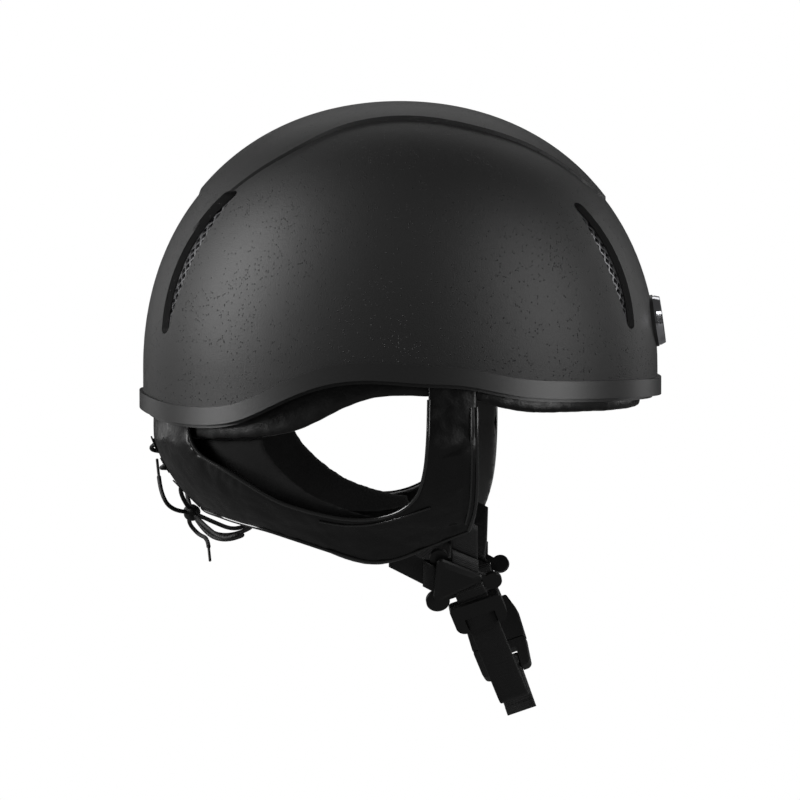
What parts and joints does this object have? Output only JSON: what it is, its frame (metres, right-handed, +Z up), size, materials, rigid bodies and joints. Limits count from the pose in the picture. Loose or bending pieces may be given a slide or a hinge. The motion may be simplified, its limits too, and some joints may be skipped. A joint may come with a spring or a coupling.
{
  "type": "jockey skull cap",
  "caption": "Peakless domed riding helmet with vent slots, rubber edge trim, laced leatherette harness and a side release chin strap.",
  "frame": {"origin": "centre of the head opening, at the level where the shell is widest", "axes": "+X forward, +Y to the wearer's left, +Z up"},
  "size_m": [0.2773, 0.2232, 0.3268],
  "materials": {
    "shell_paint": "matte black textured paint over moulded shell",
    "trim_rubber": "satin grey-black rubber",
    "foam": "moulded bead foam, black",
    "pad_cloth": "soft brushed lining cloth over foam",
    "webbing": "woven nylon webbing, black",
    "hook_loop": "hook and loop tape",
    "leatherette": "glossy black leatherette with piped edges",
    "mesh_metal": "expanded diamond mesh, bright",
    "chrome_ring": "bright chrome",
    "badge_face": "plain dark enamel",
    "gasket_rubber": "matte rubber",
    "steel": "plated steel",
    "eyelet_black": "black lacquered brass",
    "lace_cord": "round braided cord",
    "aglet_plastic": "smoked plastic sleeve",
    "black_plastic": "moulded acetal, satin"
  },
  "bodies": {
    "cap": {"outer_shell": "shell_paint", "edge_trim": "trim_rubber", "impact_liner": "foam", "crown_webbing": "webbing", "headband_pad": "pad_cloth", "crown_pad": "pad_cloth", "hook_loop_dots": "hook_loop", "rim_padding": "leatherette", "vent_grille_front_right": "mesh_metal", "vent_grille_front_left": "mesh_metal", "vent_grille_rear_right": "mesh_metal", "vent_grille_rear_left": "mesh_metal", "badge_gasket": "gasket_rubber", "badge_ring": "chrome_ring", "badge_disc": "badge_face", "badge_pin": "steel", "badge_nut": "steel", "harness_right": "leatherette", "harness_left": "leatherette", "nape_eyelets": "eyelet_black", "nape_lining": "pad_cloth", "nape_lace": "lace_cord", "lace_knot": "lace_cord", "lace_loop_right": "lace_cord", "lace_loop_left": "lace_cord", "lace_end_upper": "lace_cord", "lace_end_lower": "lace_cord", "aglet_upper": "aglet_plastic", "aglet_lower": "aglet_plastic"},
    "chin_sling": {"front_tab_right": "webbing", "rear_tab_right": "webbing", "front_tab_left": "webbing", "rear_tab_left": "webbing", "strap_divider_right": "black_plastic", "strap_divider_left": "black_plastic", "chin_strap": "webbing", "buckle_plug": "black_plastic"},
    "buckle_half": {"buckle_strap": "webbing", "buckle_socket": "black_plastic"},
    "slider": {"strap_slider": "black_plastic"},
    "prong_front": {"buckle_prong_front": "black_plastic"},
    "prong_rear": {"buckle_prong_rear": "black_plastic"}
  },
  "joints": [
    {"name": "chin_swing", "type": "hinge", "parent": "cap", "child": "chin_sling", "pos_m": [0.038, 0, -0.08], "axis": [0, -1, 0], "range_deg": [-10, 40], "deforming": ["front_tab_right", "rear_tab_right", "front_tab_left", "rear_tab_left"]},
    {"name": "buckle_release", "type": "slide", "parent": "chin_sling", "child": "buckle_half", "axis": [-0.2939, 0.4742, 0.8299], "range_m": [0, 0.014], "deforming": ["buckle_strap", "buckle_prong_front", "buckle_prong_rear"]},
    {"name": "slider_adjust", "type": "slide", "parent": "chin_sling", "child": "slider", "axis": [-0.2939, -0.4742, 0.8299], "range_m": [-0.012, 0]},
    {"name": "prong_front_press", "type": "hinge", "parent": "chin_sling", "child": "prong_front", "pos_m": [0.06183, 0.01914, -0.14601], "axis": [0.1583, 0.8804, -0.447], "range_deg": [0, 12], "stiffness_Nm_per_rad": 0.3},
    {"name": "prong_rear_press", "type": "hinge", "parent": "chin_sling", "child": "prong_rear", "pos_m": [0.04203, 0.01914, -0.15302], "axis": [-0.1583, -0.8804, 0.447], "range_deg": [0, 12], "stiffness_Nm_per_rad": 0.3}
  ],
  "couplings": [
    {"joint": "prong_rear_press", "follows": "prong_front_press", "ratio": 1}
  ]
}
